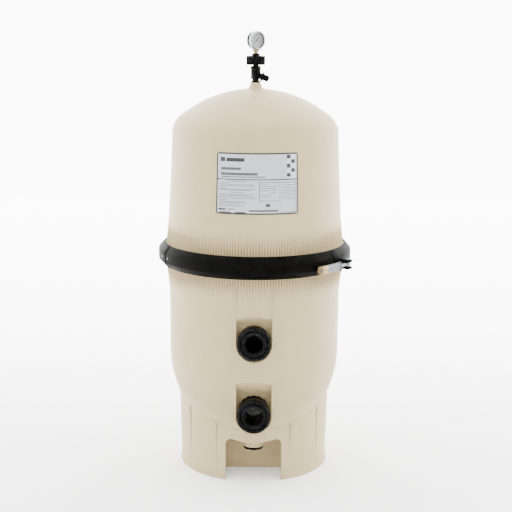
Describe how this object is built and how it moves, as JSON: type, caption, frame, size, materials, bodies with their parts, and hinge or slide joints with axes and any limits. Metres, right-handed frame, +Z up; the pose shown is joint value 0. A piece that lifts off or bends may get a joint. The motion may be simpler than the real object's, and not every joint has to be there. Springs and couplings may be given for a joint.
{
  "type": "pool filter tank",
  "caption": "Upright two-part pool filter tank with clamp band, vertical grids inside, pressure gauge, air relief valve, two union ports and a drain.",
  "frame": {"origin": "on the tank axis at floor level, where the skirt's foot stands", "axes": "+Z up along the tank axis, -Y to the front where the ports are, +X to the right seen from the front"},
  "size_m": [0.596, 0.5965, 1.342],
  "materials": {
    "beige_shell": "fine moulded grain, matt",
    "black_band": "black powder coat, satin",
    "zinc_steel": "zinc plated",
    "brass": "turned, lightly dulled",
    "rubber": "smooth",
    "black_plastic": "moulded, satin",
    "bezel_chrome": "bright",
    "clear_lens": "clear",
    "dial_face": "matt white",
    "pointer_black": "matt black",
    "label_film": "printed film",
    "white_abs": "moulded",
    "grid_cloth": "woven polypropylene",
    "stainless": "plain stainless"
  },
  "bodies": {
    "tank": {"lower_shell": "beige_shell", "upper_shell": "beige_shell", "band_front_segment": "black_band", "band_right_segment": "black_band", "band_left_segment": "black_band", "bolt_lug": "black_band", "clamp_saddle": "black_band", "band_straps": "zinc_steel", "band_rivets": "zinc_steel", "t_bolt_pin": "zinc_steel", "gauge_stem": "brass", "tank_oring": "rubber", "inlet_gasket": "rubber", "outlet_gasket": "rubber", "air_relief_oring": "rubber", "inlet_bulkhead": "black_plastic", "inlet_locknut": "black_plastic", "inlet_tailpiece": "black_plastic", "outlet_bulkhead": "black_plastic", "outlet_locknut": "black_plastic", "outlet_tailpiece": "black_plastic", "air_relief_body": "black_plastic", "air_relief_outlet": "black_plastic", "knob_retainer": "black_plastic", "gauge_case": "black_plastic", "gauge_bezel": "bezel_chrome", "gauge_lens": "clear_lens", "gauge_dial": "dial_face", "rating_label": "label_film", "inlet_diffuser": "white_abs", "outlet_elbow": "white_abs", "standpipe": "white_abs", "manifold": "white_abs", "grid_spacer": "white_abs", "rod_anchor": "white_abs", "air_bleed_tube": "white_abs", "air_bleed_screen": "white_abs", "filter_grid_1": "grid_cloth", "filter_grid_2": "grid_cloth", "filter_grid_3": "grid_cloth", "filter_grid_4": "grid_cloth", "filter_grid_5": "grid_cloth", "filter_grid_6": "grid_cloth", "filter_grid_7": "grid_cloth", "filter_grid_8": "grid_cloth", "retainer_rod": "stainless", "retainer_washer": "stainless", "retainer_wing_nut": "stainless"},
    "t_bolt_swing": {"t_bolt": "zinc_steel", "spring_seat": "zinc_steel", "clamp_spring": "zinc_steel"},
    "nut_washer": {"clamp_washer": "zinc_steel"},
    "nut": {"clamp_nut": "brass"},
    "inlet_union": {"inlet_union_nut": "black_plastic"},
    "outlet_union": {"outlet_union_nut": "black_plastic"},
    "drain_seal": {"drain_oring": "rubber"},
    "drain_cap": {"drain_plug": "black_plastic"},
    "relief_knob": {"air_relief_knob": "black_plastic"},
    "needle": {"gauge_pointer": "pointer_black"}
  },
  "joints": [
    {"name": "t_bolt_swing_out", "type": "hinge", "parent": "tank", "child": "t_bolt_swing", "pos_m": [0.27754, -0.15503, 0.659], "axis": [0, 0, 1], "range_deg": [0, 110]},
    {"name": "clamp_nut_travel", "type": "slide", "parent": "t_bolt_swing", "child": "nut_washer", "axis": [-0.6461, -0.7632, 0], "range_m": [0, 0.012]},
    {"name": "clamp_nut_turn", "type": "hinge", "parent": "nut_washer", "child": "nut", "pos_m": [0.20065, -0.24586, 0.659], "axis": [-0.6461, -0.7632, 0], "range_deg": [0, 2880]},
    {"name": "inlet_union_spin", "type": "hinge", "parent": "tank", "child": "inlet_union", "pos_m": [0, -0.275, 0.445], "axis": [0, -1, 0], "continuous": true},
    {"name": "outlet_union_spin", "type": "hinge", "parent": "tank", "child": "outlet_union", "pos_m": [0, -0.275, 0.224], "axis": [0, -1, 0], "continuous": true},
    {"name": "drain_plug_travel", "type": "slide", "parent": "tank", "child": "drain_seal", "axis": [0, 0, -1], "range_m": [0, 0.022]},
    {"name": "drain_plug_turn", "type": "hinge", "parent": "drain_seal", "child": "drain_cap", "pos_m": [0, -0.165, 0.08], "axis": [0, 0, -1], "range_deg": [0, 3600]},
    {"name": "air_relief_turn", "type": "hinge", "parent": "tank", "child": "relief_knob", "pos_m": [0, 0, 1.25], "axis": [0, 0, 1], "range_deg": [0, 90]},
    {"name": "gauge_needle_turn", "type": "hinge", "parent": "tank", "child": "needle", "pos_m": [0, 0, 1.314], "axis": [-0.6428, 0.766, 0], "range_deg": [0, 270], "stiffness_Nm_per_rad": 0.0004}
  ],
  "couplings": [
    {"joint": "clamp_nut_travel", "follows": "clamp_nut_turn", "m_per_rad": 0.00023873},
    {"joint": "drain_plug_travel", "follows": "drain_plug_turn", "m_per_rad": 0.00035014}
  ]
}
